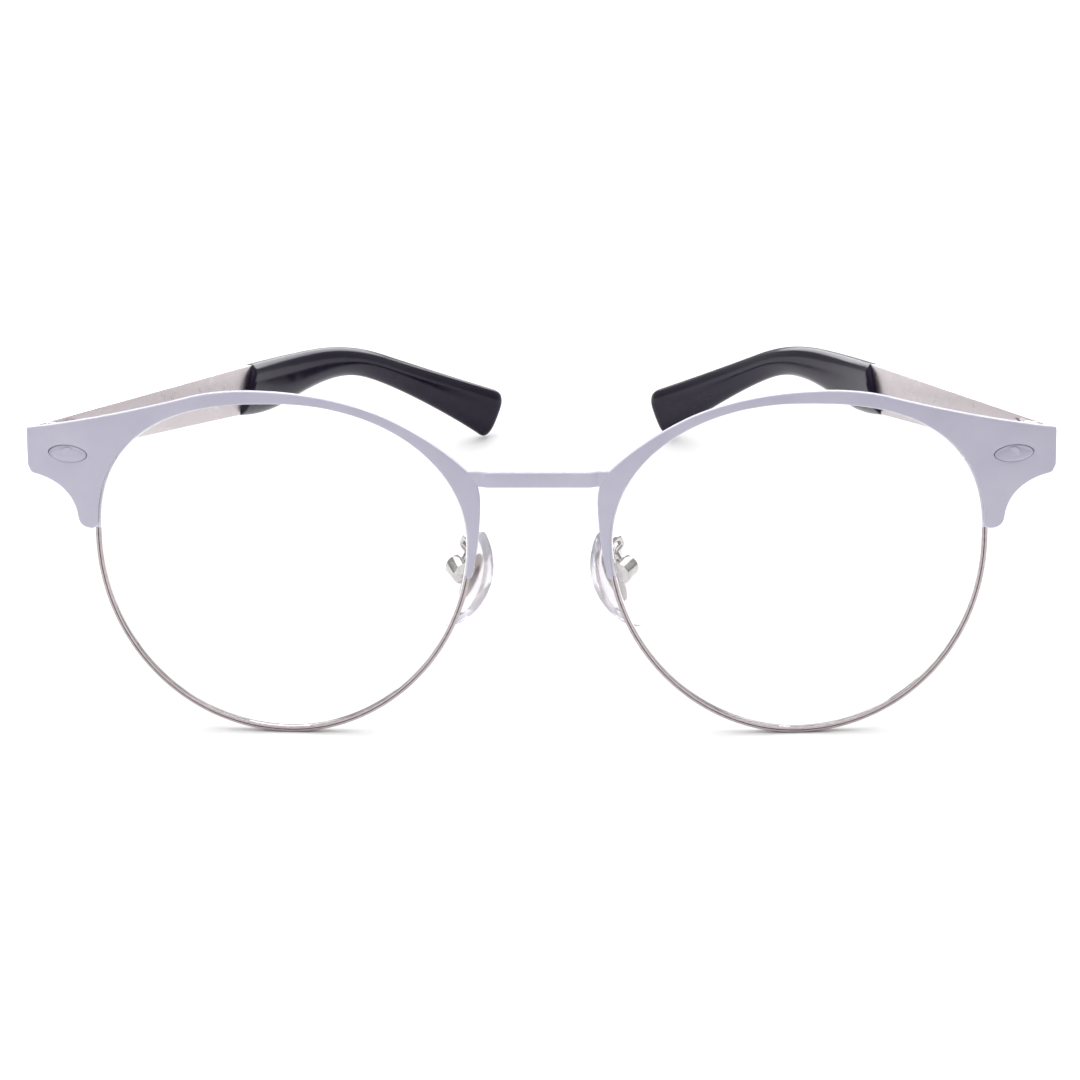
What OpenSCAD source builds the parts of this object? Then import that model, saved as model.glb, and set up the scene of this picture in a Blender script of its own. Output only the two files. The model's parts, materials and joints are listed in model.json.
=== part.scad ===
// Browline combination eyeglasses: painted sheet brows over full wire rims, a flat bridge bar,
// meniscus lenses, screw-on nose pads, and flat metal temples with sleeved ear tips.
// +X is the wearer's left-hand side seen from the front, the front faces -Y, +Z is up.
// The glasses stand on both rim bottoms and both ear tips, with the arms slightly folded in.

/* [Lens opening] */
// width of each lens opening
lens_w = 51.3; // [44:0.1:56]
// distance between the two lens openings
nose_gap = 20.2; // [14:0.1:26]
// height of the opening above its widest level
lens_top_h = 19.85; // [14:0.05:26]
// height of the opening below its widest level
lens_bottom_h = 27.9; // [20:0.05:32]
// squareness of the upper outer corner
corner_outer = 2.5; // [2:0.01:4]
// squareness of the upper inner corner
corner_inner = 2.05; // [1.8:0.01:4]

/* [Front curve] */
// radius of the front face of the brows
front_r = 133.2; // [80:0.1:400]
// sideways place of the centre of that curve
curve_x = 29.7; // [0:0.1:40]
// height of the centre of that curve
curve_z = 24.6; // [10:0.1:40]

/* [Rims and lenses] */
// thickness of the rim wire seen from the front
rim_t = 0.85; // [0.5:0.01:1.5]
// front-to-back depth of the rim wire
rim_d = 1.6; // [1:0.05:3]
// depth of the groove that holds the lens
groove = 0.3; // [0.15:0.01:0.5]
// width of the groove
groove_w = 0.7; // [0.4:0.05:1]
// thickness of the lens
lens_t = 2.0; // [1:0.1:4]
// clearance between the lens and the rim
lens_fit = 0.04; // [0.01:0.01:0.1]

/* [Brows and bridge] */
// thickness of the brow sheet
brow_t = 0.9; // [0.5:0.05:1.5]
// how far the brow stands off the edge of the lens opening
brow_reveal = 0.3; // [0:0.05:0.8]
// half of the overall width of the front
front_half_w = 71.6; // [60:0.1:80]
// highest point of the brows above the table
brow_top = 50.5; // [40:0.1:60]
// height of the bridge bar
bridge_h = 2.2; // [1.5:0.1:4]
// thickness of the bridge bar
bridge_t = 1.2; // [0.8:0.1:2.5]
// height of the middle of the bridge bar above the table
bridge_z = 38.05; // [30:0.05:45]
// length of the oval rivet head
rivet_w = 5.8; // [3:0.1:8]
// height of the oval rivet head
rivet_h = 2.5; // [1.5:0.1:4]
// how far the rivet head stands proud of the brow, or below it when negative
rivet_proud = -0.05; // [-0.3:0.05:0.8]
// depth of the oval recess that the rivet head sits in
recess = 0.45; // [0.2:0.05:0.7]
// gap between the rivet head and the wall of its recess
recess_gap = 0.08; // [0.05:0.01:0.4]

/* [Hinge] */
// sideways place of the hinge axis
hinge_x = 68.3; // [60:0.1:75]
// place of the hinge axis behind the front
hinge_y = 11.2; // [9:0.1:16]
// radius of the hinge barrels
barrel_r = 1.3; // [1:0.05:2]
// radius of the hinge screw
hinge_pin_r = 0.6; // [0.4:0.05:0.9]
// running clearance round the hinge screw
pin_fit = 0.04; // [0.01:0.01:0.1]
// gap between neighbouring barrels
barrel_gap = 0.08; // [0.03:0.01:0.2]
// lowest level of the hinge
hinge_z0 = 38.3; // [30:0.1:42]
// highest level of the barrels
hinge_z1 = 43.0; // [38:0.1:46]

/* [Temples] */
// sideways place of the front end of the blade
arm_x = 71.0; // [60:0.1:76]
// place of the front end of the blade behind the front
arm_y = 9.6; // [8:0.1:14]
// inward angle of the blade as it stands
arm_in = 16.4; // [4:0.1:30]
// length of the straight blade
arm_straight = 70; // [50:1:90]
// radius of the inward curve of the ear tip
arm_r = 196; // [100:1:400]
// thickness of the blade
blade_t = 1.0; // [0.6:0.05:1.6]
// thickness of the ear tip
tip_t = 3.4; // [2.4:0.1:5]
// height of the core wire inside the ear tip
core_h = 2.4; // [1.5:0.1:4]
// clearance between the core wire and the ear tip
core_fit = 0.08; // [0.02:0.01:0.2]

/* [Nose pads] */
// sideways place of the pad screw
pad_x = 10.95; // [9:0.1:16]
// place of the pad screw behind the front
pad_y = 9.0; // [7:0.1:14]
// height of the pad screw above the table
pad_z = 22.8; // [16:0.1:30]
// splay of the pad: its top leans toward the nose
pad_splay = 25.5; // [0:0.5:35]
// turn of the pad: its face looks backward
pad_turn = 35; // [0:0.5:60]
// height of the pad
pad_h = 15.0; // [10:0.1:18]
// width of the pad
pad_w = 8.0; // [5:0.1:10]
// radius of the pad arm wire
arm_wire_r = 0.5; // [0.4:0.05:0.8]

/* [Colours] */
// paint of the brows, the bridge and the rivets
paint = [0.73, 0.72, 0.79];
// warm silver of the rims and blades
metal = [0.78, 0.74, 0.73];
// polished silver of the small fittings
bright = [0.82, 0.80, 0.80];
// glossy black of the ear tips
black = [0.06, 0.06, 0.07];
// clear lens
clear_lens = [0.86, 0.90, 0.92, 0.30];
// clear silicone of the nose pads
silicone = [0.90, 0.89, 0.86, 0.60];

/* [Hidden] */
$fn = 96;

lens_cx = nose_gap / 2 + lens_w / 2;
lens_cz = lens_bottom_h + rim_t;
half_w = lens_w / 2;
back_r = front_r - brow_t;          // back of the brows, front of the rims
rim_back_r = back_r - rim_d;
mid_r = back_r - rim_d / 2;
lens_out_r = mid_r + lens_t / 2;
lens_in_r = mid_r - lens_t / 2;
split_z = 40.5;                     // level where the rim is split and locked
lock_x = 62.6;
seat_y = 9.2;                       // back of the endpiece block
plate_y = 9.7;                      // back of the hinge's front plate
mid_y = 73.55;                      // half of the overall depth, so the box is centred
riv_x = 65.6;
riv_z = 40.7;
shank_r = 0.8;

// ---- shared outlines ------------------------------------------------------------------

function sgn_pow(v, p) = sign(v) * pow(abs(v), p);
// squareness of each quarter of the lens outline
function quarter(c, s) = s >= 0 ? (c >= 0 ? corner_outer : corner_inner) : (c >= 0 ? 2.05 : 1.94);
// lens outline grown by d, as points round the opening
function lens_pts(d, n = 84) = [for (i = [0 : n - 1])
  let (a = 360 * (i + 0.5) / n, c = cos(a), s = sin(a), q = 2 / quarter(c, s),
       h = s >= 0 ? lens_top_h : lens_bottom_h)
  [lens_cx + (half_w + d) * sgn_pow(c, q), lens_cz + (h + d) * sgn_pow(s, q)]];
// the same outline between two angles, either way round
function lens_arc(d, a0, a1, n) = [for (i = [0 : n])
  let (a = a0 + (a1 - a0) * i / n, c = cos(a), s = sin(a), q = 2 / quarter(c, s),
       h = s >= 0 ? lens_top_h : lens_bottom_h)
  [lens_cx + (half_w + d) * sgn_pow(c, q), lens_cz + (h + d) * sgn_pow(s, q)]];
function bez(p, q, r, s, n) = [for (i = [1 : n]) let (t = i / n, u = 1 - t)
  u * u * u * p + 3 * u * u * t * q + 3 * u * t * t * r + t * t * t * s];
function front_y(x, z, r) = front_r - sqrt(r * r - pow(x - curve_x, 2) - pow(z - curve_z, 2));

// outline of one brow: endpiece, top edge, nasal tail, then back along the lens opening
w = front_half_w;
brow_pts = concat(
  [[w - 0.55, 43.85]],
  bez([w - 0.55, 43.85], [64, 45.25], [55.5, 47.35], [47.7, 49.55], 10),
  bez([47.7, 49.55], [45, 50.25], [41.5, brow_top + 0.1], [38.4, brow_top], 6),
  bez([38.4, brow_top], [32.2, brow_top - 0.1], [26.3, 49.3], [21.2, 47.05], 9),
  bez([21.2, 47.05], [16.6, 44.9], [12.4, 41.9], [9.3, 38.6], 9),
  bez([9.3, 38.6], [8.5, 37.6], [8.05, 36.2], [8.1, 34.4], 6),
  bez([8.1, 34.4], [8.2, 31.0], [8.5, 28.0], [9.35, 24.2], 8),
  bez([9.35, 24.2], [9.5, 23.75], [9.8, 23.7], [10.2, 23.72], 3),
  lens_arc(brow_reveal, 189.6, 90, 26),
  lens_arc(brow_reveal, 88, 3.6, 30),
  [[62.9, 30.3]],
  bez([62.9, 30.3], [63.8, 30.4], [64.3, 30.8], [64.45, 31.7], 4),
  bez([64.45, 31.7], [64.75, 35.0], [67.2, 36.9], [w - 0.95, 37.45], 9),
  [[w - 0.35, 37.8], [w - 0.05, 38.5], [w, 39.3], [w, 43.3], [w - 0.2, 43.7]]);

// ---- helpers --------------------------------------------------------------------------

module other_side(left) { if (left) mirror([1, 0, 0]) children(); else children(); }
module placed(left) { translate([0, -mid_y, 0]) other_side(left) children(); }
// stands an outline drawn in X and Z up, from y0 to y1
module upright(pts, y0 = -4, y1 = 16)
  translate([0, y1, 0]) rotate([90, 0, 0]) linear_extrude(y1 - y0) polygon(pts);
module ball(r) translate([curve_x, front_r, curve_z]) sphere(r = r, $fn = 300);
module shell(r_in, r_out) difference() { ball(r_out); ball(r_in); }
module bar(a, b, r) {
  d = b - a;
  l = norm(d);
  translate(a) rotate([0, acos(d[2] / l), atan2(d[1], d[0])]) cylinder(h = l, r = r, $fn = 32);
}

// ---- front ----------------------------------------------------------------------------

// plan of the bridge bar: straight in the middle, ends set back to meet the edges of the brows
function step(t) = let (u = min(1, max(0, t))) u * u * (3 - 2 * u);
function bridge_mid_y(x) = 2.4 + 0.5 * step((abs(x) - 6.9) / 1.3);
module bridge_body() {
  xs = [for (i = [-44 : 44]) i * 11 / 44];
  top = [for (x = xs) [x, bridge_mid_y(x) - bridge_t / 2]];
  low = [for (i = [len(xs) - 1 : -1 : 0]) [xs[i], bridge_mid_y(xs[i]) + bridge_t / 2]];
  difference() {
    translate([0, 0, bridge_z - bridge_h / 2]) linear_extrude(bridge_h) polygon(concat(top, low));
    upright(brow_pts);
    mirror([1, 0, 0]) upright(brow_pts);
  }
}
module bridge() color(paint) translate([0, -mid_y, 0]) bridge_body();

module brow(left) color(paint) placed(left) difference() {
  intersection() { upright(brow_pts); shell(back_r, front_r); }
  intersection() { upright(oval(recess_gap)); shell(front_r - recess, front_r + 1); }
  translate([riv_x, 0, riv_z]) rotate([-90, 0, 0]) cylinder(h = 12, r = shank_r + 0.02);
}

module rim(left) color(metal) placed(left) difference() {
  intersection() {
    difference() { upright(lens_pts(rim_t)); upright(lens_pts(0), -5, 17); }
    shell(rim_back_r, back_r - 0.01);
  }
  intersection() { upright(lens_pts(groove)); shell(mid_r - groove_w / 2, mid_r + groove_w / 2); }
  translate([lens_cx + 10, -5, split_z - 0.12]) cube([30, 30, 0.24]);
}

module lens(left) color(clear_lens) placed(left) union() {
  intersection() { upright(lens_pts(-lens_fit)); shell(lens_in_r, lens_out_r); }
  intersection() {
    upright(lens_pts(groove - lens_fit));
    shell(mid_r - groove_w / 2 + lens_fit, mid_r + groove_w / 2 - lens_fit);
  }
}

function oval(g) = [for (i = [0 : 39]) let (a = 9 * i)
  [riv_x + (rivet_w / 2 + g) * cos(a), riv_z + (rivet_h / 2 + g) * sgn_pow(sin(a), 1.12)]];
module rivet(left) color(paint) placed(left) union() {
  intersection() { upright(oval(0)); shell(front_r - recess, front_r + rivet_proud); }
  translate([riv_x, front_y(riv_x, riv_z, front_r) + 0.2, riv_z]) rotate([-90, 0, 0])
    cylinder(h = 2.3, r = shank_r);
}

// block behind the endpiece: joins the rim lock, the brow and the hinge
module endpiece_block(left) color(bright) placed(left) difference() {
  intersection() {
    translate([lock_x, 3, hinge_z0]) cube([7.1, seat_y - 3, hinge_z1 - hinge_z0]);
    ball(back_r);
  }
  translate([riv_x, 0, riv_z]) rotate([-90, 0, 0])
    cylinder(h = front_y(riv_x, riv_z, front_r) + 2.6, r = shank_r + 0.02);
}

module lock(z0, z1) difference() {
  intersection() { translate([59.3, 3, z0]) cube([lock_x - 59.3, 5.5, z1 - z0]); ball(back_r); }
  upright(lens_pts(rim_t));
}
lock_px = 61.5;
lock_py = 7.6;
module rim_lock_upper(left) color(bright) placed(left) difference() {
  lock(split_z + 0.12, hinge_z1);
  translate([lock_px, lock_py, split_z - 1]) cylinder(h = 2.7, r = 0.62);
}
module rim_lock_lower(left) color(bright) placed(left) difference() {
  lock(hinge_z0 - 0.1, split_z - 0.12);
  translate([lock_px, lock_py, 30]) cylinder(h = 20, r = 0.64);
}
module rim_screw(left) color(bright) placed(left) difference() {
  union() {
    translate([lock_px, lock_py, hinge_z0 - 0.2]) cylinder(h = split_z + 1.6 - hinge_z0 + 0.2, r = 0.6);
    translate([lock_px, lock_py, hinge_z0 - 0.7]) cylinder(h = 0.6, r = 0.8);
  }
  translate([lock_px - 2, lock_py - 0.12, hinge_z0 - 1]) cube([4, 0.24, 0.6]);
}

// ---- hinge ----------------------------------------------------------------------------

barrel_h = (hinge_z1 - hinge_z0) / 3;
module barrel(z0, z1) translate([hinge_x, hinge_y, z0]) cylinder(h = z1 - z0, r = barrel_r);
module pin_hole() translate([hinge_x, hinge_y, 30]) cylinder(h = 20, r = hinge_pin_r + pin_fit);
module hinge_front_leaf(left) color(bright) placed(left) difference() {
  union() {
    translate([64.2, seat_y, hinge_z0]) cube([5.4, plate_y - seat_y, hinge_z1 - hinge_z0]);
    for (z = [hinge_z0, hinge_z1 - barrel_h + barrel_gap]) {
      barrel(z, z + barrel_h - barrel_gap);
      translate([hinge_x - barrel_r, seat_y, z])
        cube([barrel_r * 2, hinge_y - seat_y, barrel_h - barrel_gap]);
    }
  }
  pin_hole();
}
module hinge_screw(left) color(bright) placed(left) difference() {
  union() {
    translate([hinge_x, hinge_y, hinge_z0 - 0.15]) cylinder(h = hinge_z1 - hinge_z0 + 0.2, r = hinge_pin_r);
    translate([hinge_x, hinge_y, hinge_z1]) cylinder(h = 0.5, r = 1.05);
  }
  translate([hinge_x - 2, hinge_y - 0.13, hinge_z1 + 0.2]) cube([4, 0.26, 1]);
}
// frame of one arm: local Y runs back along the blade, local X points outward
module arm_frame() translate([arm_x, arm_y, 0]) rotate([0, 0, arm_in]) children();
// hinge axis in the arm's own frame
hdx = hinge_x - arm_x;
hdy = hinge_y - arm_y;
hu = -hdx * sin(arm_in) + hdy * cos(arm_in);
hv = hdx * cos(arm_in) + hdy * sin(arm_in);
module hinge_temple_leaf(left) color(bright) placed(left) difference() {
  union() {
    barrel(hinge_z0 + barrel_h + barrel_gap, hinge_z1 - barrel_h);
    arm_frame() {
      translate([hv, hu - 0.35, hinge_z0 + barrel_h + barrel_gap])
        cube([-blade_t / 2 - hv, 2.6, barrel_h - barrel_gap]);
      translate([-blade_t / 2 - 0.65, hu + 1.7, 38.7]) cube([0.65, 6.8, 2.9]);
    }
  }
  pin_hole();
}

// ---- temples --------------------------------------------------------------------------

// distance along the arm turned into local Y, following the inward curve past the straight part
function along(s) = s <= arm_straight ? s
  : arm_straight + arm_r * sin((s - arm_straight) / arm_r * 180 / PI);
function unroll(p) = [for (q = p) [along(q[0]), q[1]]];
module side_plate(p, x0, x1)
  translate([x0, 0, 0]) rotate([90, 0, 90]) linear_extrude(x1 - x0) polygon(p);
// curved slab that follows the ear tip, half thickness h
module curved_slab(h) translate([-arm_r, arm_straight, -5]) difference() {
  cylinder(h = 60, r = arm_r + h, $fn = 720);
  translate([0, 0, -1]) cylinder(h = 62, r = arm_r - h, $fn = 720);
}
joint_top = [73.4, 32.2];
joint_low = [68.2, 25.15];
blade_top0 = 43.8;
// upper and lower outline of the ear tip, from the joint to the rounded end
tip_pts = concat([joint_low],
  bez(joint_low, [74, 23.4], [80, 22.2], [88, 22.45], 8),
  bez([88, 22.45], [100, 22.8], [106, 22.2], [113, 19.1], 10),
  bez([113, 19.1], [121, 15.6], [134, 8.0], [144.6, 0.45], 12),
  bez([144.6, 0.45], [145.9, -0.3], [146.6, 0.1], [147.1, 1.2], 5),
  [[149.1, 5.7]],
  bez([149.1, 5.7], [149.7, 7.1], [149.6, 7.8], [148.2, 8.45], 4),
  bez([148.2, 8.45], [138, 13.0], [127, 18.0], [117, 22.5], 10),
  bez([117, 22.5], [108, 26.5], [101, 27.9], [94, 29.0], 10),
  bez([94, 29.0], [87, 30.1], [80, 31.15], joint_top, 6));
core_pts = concat(
  bez([76.0, 25.9], [92, 24.3], [103, 24.6], [113, 20.8], 14),
  bez([113, 20.8], [120, 17.6], [130, 12.4], [139, 7.6], 10),
  bez([139, 7.6 + core_h], [130, 12.4 + core_h], [120, 17.6 + core_h], [113, 20.8 + core_h * 0.92], 10),
  bez([113, 20.8 + core_h * 0.92], [103, 24.6 + core_h], [92, 24.3 + core_h], [76.0, 25.9 + core_h], 14));
// the same strip grown by c on its long sides
function grown(p, c) = [for (i = [0 : len(p) - 1])
  let (a = p[(i + len(p) - 1) % len(p)], b = p[(i + 1) % len(p)], d = (b - a) / norm(b - a))
  p[i] + c * [d[1], -d[0]]];
neck = [[69.6, 26.0], [76.2, 25.86], [76.2, 25.92 + core_h], [69.6, 28.4]];
neck_cut = [[67, 25.95], [76.4, 25.8], [76.4, 25.98 + core_h], [67, 28.46]];

module temple_blade(left) color(metal) placed(left) arm_frame() union() {
  side_plate([[-0.35, 39.1], [0.3, 38.4], joint_low + [-0.02, 0.06], joint_top + [-0.04, -0.12],
    [0.35, blade_top0 - 0.06], [-0.35, blade_top0 - 0.6]], -blade_t / 2, blade_t / 2);
  intersection() { side_plate(unroll(core_pts), -40, 20); curved_slab(blade_t / 2); }
  side_plate(neck, -blade_t / 2, blade_t / 2 - 0.04);
}
module temple_tip(left) color(black) placed(left) arm_frame() difference() {
  intersection() { side_plate(unroll(tip_pts), -40, 20); curved_slab(tip_t / 2); }
  intersection() {
    side_plate(unroll(grown(core_pts, core_fit)), -40, 20);
    curved_slab(blade_t / 2 + core_fit);
  }
  side_plate(neck_cut, -blade_t / 2 - core_fit, blade_t / 2 + core_fit);
}

// ---- nose pads ------------------------------------------------------------------------

module pad_frame() translate([pad_x, pad_y, pad_z])
  rotate([0, -pad_splay, 0]) rotate([0, 0, -pad_turn]) children();
// outline of the pad in its own width and height: rounder and wider below
function pad_outline(g) = [for (i = [0 : 47])
  let (a = 7.5 * i, k = sin(a) >= 0 ? 0.44 : 0.5)
  [(pad_w * (0.5 - 0.07 * sin(a)) + g) * cos(a), -1.6 + (pad_h / 2 + g) * sgn_pow(sin(a), 0.96)]];
module pad_plate(p, x0, x1)
  translate([x0, 0, 0]) rotate([90, 0, 90]) linear_extrude(x1 - x0) polygon(p);
plate_pts = [for (i = [0 : 31]) let (a = 11.25 * i) [1.45 * cos(a), -1.2 + 3.8 * sin(a)]];
module insert_solid(g) union() {
  translate([g == 0 ? 0 : -g, 0, 0]) pad_plate([for (p = plate_pts) p * (1 + g / 1.4)], -2.35, -1.95 + 2 * g);
  translate([-2.1, -0.5 - g, -0.75 - g]) cube([1.7, 1 + 2 * g, 1.5 + 2 * g]);
}
module nose_pad(left) color(silicone) placed(left) pad_frame() difference() {
  intersection() {
    pad_plate(pad_outline(0), -3.9, -0.3);
    translate([6.7, 0, -1.6]) sphere(r = 10.5, $fn = 96);
  }
  translate([28.65, 0, -1.6]) sphere(r = 30, $fn = 200);
  insert_solid(0.02);
}
module pad_insert(left) color(bright) placed(left) pad_frame() difference() {
  union() {
    insert_solid(0);
    translate([0, 0.5, 0]) rotate([90, 0, 0]) cylinder(h = 1, r = 0.78, $fn = 48);
  }
  translate([0, 2, 0]) rotate([90, 0, 0]) cylinder(h = 4, r = 0.44, $fn = 48);
}
// round pad box, slotted for the lug of the insert
box_r = 1.7;
box_x = 0.75;
module pad_box(left) color(bright) placed(left) pad_frame() difference() {
  translate([box_x, 1.25, -0.2]) rotate([90, 0, 0]) cylinder(h = 2.5, r = box_r, $fn = 64);
  translate([-3, -0.62, -4]) cube([4.0, 1.24, 8]);
  translate([0, 3, 0]) rotate([90, 0, 0]) cylinder(h = 6, r = 0.41, $fn = 48);
}
module pad_screw(left) color(bright) placed(left) pad_frame() union() {
  translate([0, 1.3, 0]) rotate([90, 0, 0]) cylinder(h = 2.5, r = 0.39, $fn = 48);
  translate([0, 1.66, 0]) rotate([90, 0, 0]) cylinder(h = 0.4, r = 0.7, $fn = 48);
}

// pad arm: from the back of the rim straight back, then down to the top of the pad box
arm_x0 = 9.6;
arm_z0 = 27.2;
arm_y0 = front_y(arm_x0, arm_z0, rim_back_r) + 0.09;
function pad_pt(v) = let (a = [v[0] * cos(pad_turn) + v[1] * sin(pad_turn),
    -v[0] * sin(pad_turn) + v[1] * cos(pad_turn), v[2]])
  [pad_x + a[0] * cos(pad_splay) - a[2] * sin(pad_splay), pad_y + a[1],
   pad_z + a[0] * sin(pad_splay) + a[2] * cos(pad_splay)];
arm_in_pt = [arm_x0, arm_y0 + 0.5, arm_z0];
arm_top_pt = [11.15, 9.75, 26.3];
arm_out_pt = pad_pt([box_x, 0, 2.4]);
arm_path = concat([[arm_x0, arm_y0, arm_z0], arm_in_pt],
  bez(arm_in_pt, arm_in_pt + [0.05, 2.4, 0.1], [10.95, 9.5, 28.1], arm_top_pt, 6),
  bez(arm_top_pt, arm_top_pt + [0.06, 0.08, -0.6], arm_out_pt + (arm_out_pt - pad_pt([box_x, 0, 1.9])),
    arm_out_pt, 3),
  [pad_pt([box_x, 0, box_r - 0.18])]);
module pad_arm(left) color(bright) placed(left) union() {
  for (i = [0 : len(arm_path) - 2]) bar(arm_path[i], arm_path[i + 1], arm_wire_r);
  for (i = [1 : len(arm_path) - 2]) translate(arm_path[i]) rotate([90, 0, 20]) sphere(r = arm_wire_r * 1.04, $fn = 32);
}

// ---- assembly -------------------------------------------------------------------------

bridge();
brow(true);  // brow_left
brow(false);  // brow_right
rim(true);  // rim_left
rim(false);  // rim_right
lens(true);  // lens_left
lens(false);  // lens_right
rivet(true);  // rivet_left
rivet(false);  // rivet_right
endpiece_block(true);  // endpiece_block_left
endpiece_block(false);  // endpiece_block_right
rim_lock_upper(true);  // rim_lock_upper_left
rim_lock_upper(false);  // rim_lock_upper_right
rim_lock_lower(true);  // rim_lock_lower_left
rim_lock_lower(false);  // rim_lock_lower_right
rim_screw(true);  // rim_screw_left
rim_screw(false);  // rim_screw_right
hinge_front_leaf(true);  // hinge_front_leaf_left
hinge_front_leaf(false);  // hinge_front_leaf_right
hinge_screw(true);  // hinge_screw_left
hinge_screw(false);  // hinge_screw_right
hinge_temple_leaf(true);  // hinge_temple_leaf_left
hinge_temple_leaf(false);  // hinge_temple_leaf_right
temple_blade(true);  // temple_blade_left
temple_blade(false);  // temple_blade_right
temple_tip(true);  // temple_tip_left
temple_tip(false);  // temple_tip_right
pad_arm(true);  // pad_arm_left
pad_arm(false);  // pad_arm_right
pad_box(true);  // pad_box_left
pad_box(false);  // pad_box_right
pad_screw(true);  // pad_screw_left
pad_screw(false);  // pad_screw_right
nose_pad(true);  // nose_pad_left
nose_pad(false);  // nose_pad_right
pad_insert(true);  // pad_insert_left
pad_insert(false);  // pad_insert_right
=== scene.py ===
import json
import math
import bpy
import bmesh
from mathutils import Vector, Matrix
from mathutils.geometry import delaunay_2d_cdt


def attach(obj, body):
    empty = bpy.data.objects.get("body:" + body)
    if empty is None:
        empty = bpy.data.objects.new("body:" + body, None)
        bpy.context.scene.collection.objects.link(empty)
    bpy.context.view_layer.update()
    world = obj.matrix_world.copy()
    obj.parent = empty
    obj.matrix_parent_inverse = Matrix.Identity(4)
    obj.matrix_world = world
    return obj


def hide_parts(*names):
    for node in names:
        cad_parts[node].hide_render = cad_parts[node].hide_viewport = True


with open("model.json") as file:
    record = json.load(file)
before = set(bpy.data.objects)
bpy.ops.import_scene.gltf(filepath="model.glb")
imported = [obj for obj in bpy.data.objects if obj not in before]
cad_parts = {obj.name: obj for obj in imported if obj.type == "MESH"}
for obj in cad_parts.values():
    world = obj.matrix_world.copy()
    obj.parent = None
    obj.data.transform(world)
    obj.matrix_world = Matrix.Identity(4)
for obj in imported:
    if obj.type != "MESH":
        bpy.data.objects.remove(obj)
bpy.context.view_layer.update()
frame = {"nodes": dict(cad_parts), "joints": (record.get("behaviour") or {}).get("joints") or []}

MM = 0.001
JOINTS = {j["name"]: j for j in frame["joints"]}
HINGE_Y = 11.2          # the hinge axis, this far behind the front's apex
SHIFT = JOINTS["right_temple_fold"]["pos_m"][1] / MM - HINGE_Y      # design Y to row Y

# ---- design sizes, in millimetres, as in the part's source --------------------------------
# lens opening: width, gap over the nose, height above and below its widest level
LENS_W, NOSE_GAP, TOP_H, BOT_H = 51.3, 20.2, 19.85, 27.9
# rim wire: thickness, depth, groove depth and width, and the lens's clearance in the groove
RIM_T, RIM_D, GROOVE, GROOVE_W, LENS_FIT = 0.85, 1.6, 0.3, 0.7, 0.04
# front: radius and centre of its face, brow thickness, reveal round the lens, half width and top
FRONT_R, CX, CZ, BROW_T, REVEAL, HALF_W, BROW_TOP = 133.2, 29.7, 24.6, 0.9, 0.3, 71.6, 50.5
LCX, LCZ, HW = NOSE_GAP / 2 + LENS_W / 2, BOT_H + RIM_T, LENS_W / 2
BACK_R = FRONT_R - BROW_T
RIM_BACK = BACK_R - RIM_D
MID_R = BACK_R - RIM_D / 2
SPLIT_Z = 40.5
# inlaid oval: place, width and height, depth of its recess and the gap round it
RIV_X, RIV_Z, RIV_W, RIV_H, RECESS, RECESS_GAP = 65.6, 40.7, 5.6, 2.3, 0.45, 0.08
# temple: start, lean inwards in degrees, straight length, bend radius, blade and tip thickness
ARM_X, ARM_Y, ARM_IN, STRAIGHT, ARM_R, BLADE_T, TIP_T = 71.0, 9.6, 16.4, 70.0, 196.0, 1.0, 3.4
# where blade and tip meet, as (distance along, height), and the blade's height at the front
JOINT_TOP, JOINT_LOW, BLADE_TOP0 = (73.4, 32.2), (68.2, 25.15), 43.8
# nose pad: place, splay and turn in degrees, height and width
PAD_X, PAD_Y, PAD_Z, SPLAY, TURN, PAD_H, PAD_W = 10.95, 9.0, 22.8, 25.5, 35.0, 15.0, 8.0
# bridge bar: height, thickness and level of its middle
BRIDGE_H, BRIDGE_T, BRIDGE_Z = 2.2, 1.2, 38.05
# pad wire's radius, and how far the rim stays inside its nominal outside
WIRE_R, FACET = 0.5, 0.02


def sp(v, p):
    return math.copysign(abs(v) ** p, v)


def lens_pt(d, deg):
    c, s = math.cos(math.radians(deg)), math.sin(math.radians(deg))
    n = (2.5 if c >= 0 else 2.05) if s >= 0 else (2.05 if c >= 0 else 1.94)
    h = TOP_H if s >= 0 else BOT_H
    return (LCX + (HW + d) * sp(c, 2 / n), LCZ + (h + d) * sp(s, 2 / n))


def even(pts, n, closed=False):
    """n points spaced evenly along a polyline."""
    q = pts + [pts[0]] if closed else pts
    run = [0.0]
    for a, b in zip(q, q[1:]):
        run.append(run[-1] + math.dist(a, b))
    out, k = [], 0
    for i in range(n):
        t = run[-1] * i / (n if closed else n - 1)
        while k < len(q) - 2 and run[k + 1] < t:
            k += 1
        f = 0.0 if run[k + 1] == run[k] else (t - run[k]) / (run[k + 1] - run[k])
        out.append(tuple(a + (b - a) * f for a, b in zip(q[k], q[k + 1])))
    return out


def bez(p, q, r, s, n, first=False):
    out = []
    for i in range(0 if first else 1, n + 1):
        t = i / n
        u = 1 - t
        out.append(tuple(u ** 3 * a + 3 * u * u * t * b + 3 * u * t * t * c + t ** 3 * d
                         for a, b, c, d in zip(p, q, r, s)))
    return out


def front_y(x, z, r):
    return FRONT_R - math.sqrt(r * r - (x - CX) ** 2 - (z - CZ) ** 2)


def on_front(p, r):
    return (p[0], front_y(p[0], p[1], r), p[1])


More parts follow.
